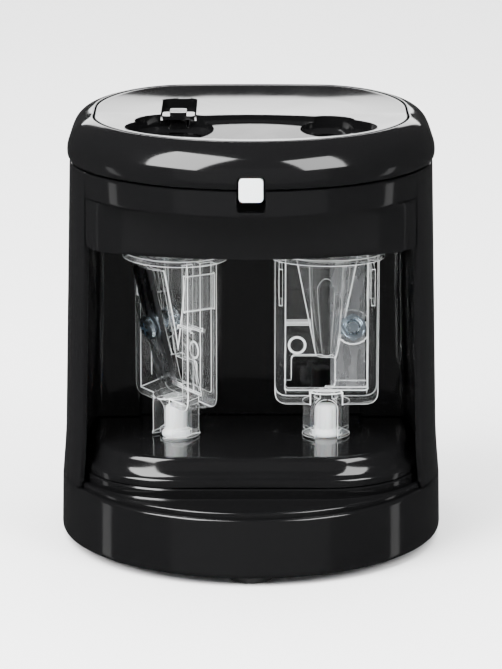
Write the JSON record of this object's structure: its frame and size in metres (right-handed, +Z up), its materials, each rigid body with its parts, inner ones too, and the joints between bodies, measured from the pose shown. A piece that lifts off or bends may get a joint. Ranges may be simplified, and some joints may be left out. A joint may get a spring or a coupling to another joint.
{
  "type": "electric pencil sharpener",
  "caption": "Desktop electric pencil sharpener with clear rotary cutter cartridges in an open bin space and a sliding pencil selector on top.",
  "frame": {"origin": "middle of the footprint on the surface it stands on", "axes": "+Z up, front of the sharpener faces -Y, +X to the right seen from the front"},
  "size_m": [0.088, 0.084, 0.1006],
  "materials": {
    "gloss_black": "polished",
    "grey_plastic": "satin",
    "black_plastic": "satin",
    "rubber": "matte",
    "white_plastic": "satin",
    "clear_plastic": "clear polycarbonate",
    "steel": "brushed",
    "zinc": "bright zinc plate",
    "brass": "machined",
    "board": "solder mask"
  },
  "bodies": {
    "housing": {"base_tray": "gloss_black", "platform_cover": "gloss_black", "rear_shell": "gloss_black", "cavity_wall": "gloss_black", "hood": "gloss_black", "top_cap": "gloss_black", "top_panel": "gloss_black", "bottom_cover": "grey_plastic", "guide_deck": "grey_plastic", "guide_left": "grey_plastic", "guide_right": "grey_plastic", "gear_chassis": "grey_plastic", "foot_front": "rubber", "foot_front_left": "rubber", "foot_front_right": "rubber", "foot_rear_left": "rubber", "foot_rear_right": "rubber", "cover_screw_1": "steel", "cover_screw_2": "steel", "cover_screw_3": "steel", "cover_screw_4": "steel", "chassis_screw_1": "steel", "chassis_screw_2": "steel", "chassis_screw_3": "steel", "idler_pin_centre": "steel", "idler_pin_rear": "steel", "motor_can": "steel", "motor_end_cap": "black_plastic", "motor_bracket": "steel", "circuit_board": "board", "dc_inlet": "black_plastic", "start_switch_left": "black_plastic", "start_switch_right": "black_plastic", "interlock_switch": "black_plastic", "interlock_spring": "steel"},
    "selector": {"selector_slide": "gloss_black"},
    "interlock": {"interlock_button": "white_plastic"},
    "start_lever_left": {"start_lever_left": "steel"},
    "start_lever_right": {"start_lever_right": "steel"},
    "idler_centre": {"idler_centre": "white_plastic"},
    "idler_rear": {"idler_rear": "white_plastic"},
    "motor_rotor": {"motor_shaft": "steel", "motor_pinion": "brass"},
    "cutter_left": {"cutter_body_left": "clear_plastic", "cutter_blade_left": "steel", "blade_screw_left": "zinc", "blade_nut_left": "zinc", "spindle_left": "white_plastic", "spindle_gear_left": "white_plastic"},
    "cutter_right": {"cutter_body_right": "clear_plastic", "cutter_blade_right": "steel", "blade_screw_right": "zinc", "blade_nut_right": "zinc", "spindle_right": "white_plastic", "spindle_gear_right": "white_plastic"}
  },
  "joints": [
    {"name": "selector_travel", "type": "slide", "parent": "housing", "child": "selector", "axis": [0, 1, 0], "range_m": [0, 0.0122]},
    {"name": "interlock_press", "type": "slide", "parent": "housing", "child": "interlock", "axis": [0, 1, 0], "range_m": [0, 0.0025], "stiffness_N_per_m": 300, "springref_m": -0.0015, "deforming": ["interlock_spring"]},
    {"name": "start_lever_left_swing", "type": "hinge", "parent": "housing", "child": "start_lever_left", "pos_m": [-0.0172, 0.0066, 0.086], "axis": [1, 0, 0], "range_deg": [0, 13], "stiffness_Nm_per_rad": 0.004, "springref_deg": -5.73},
    {"name": "start_lever_right_swing", "type": "hinge", "parent": "housing", "child": "start_lever_right", "pos_m": [0.0172, 0.0066, 0.086], "axis": [1, 0, 0], "range_deg": [0, 13], "stiffness_Nm_per_rad": 0.004, "springref_deg": -5.73},
    {"name": "cutter_left_spin", "type": "hinge", "parent": "housing", "child": "cutter_left", "pos_m": [-0.0172, -0.006, 0], "axis": [0, 0, 1], "continuous": true},
    {"name": "cutter_right_spin", "type": "hinge", "parent": "housing", "child": "cutter_right", "pos_m": [0.0172, -0.006, 0], "axis": [0, 0, 1], "continuous": true},
    {"name": "idler_centre_spin", "type": "hinge", "parent": "housing", "child": "idler_centre", "pos_m": [0, -0.006, 0], "axis": [0, 0, 1], "continuous": true},
    {"name": "idler_rear_spin", "type": "hinge", "parent": "housing", "child": "idler_rear", "pos_m": [0, 0.0108, 0], "axis": [0, 0, 1], "continuous": true},
    {"name": "motor_spin", "type": "hinge", "parent": "housing", "child": "motor_rotor", "pos_m": [0, 0.027, 0], "axis": [0, 0, 1], "continuous": true}
  ],
  "couplings": [
    {"joint": "cutter_right_spin", "follows": "cutter_left_spin", "ratio": 1},
    {"joint": "idler_centre_spin", "follows": "cutter_left_spin", "ratio": -1.8667},
    {"joint": "idler_rear_spin", "follows": "cutter_left_spin", "ratio": 4.6667},
    {"joint": "motor_spin", "follows": "cutter_left_spin", "ratio": -14}
  ]
}
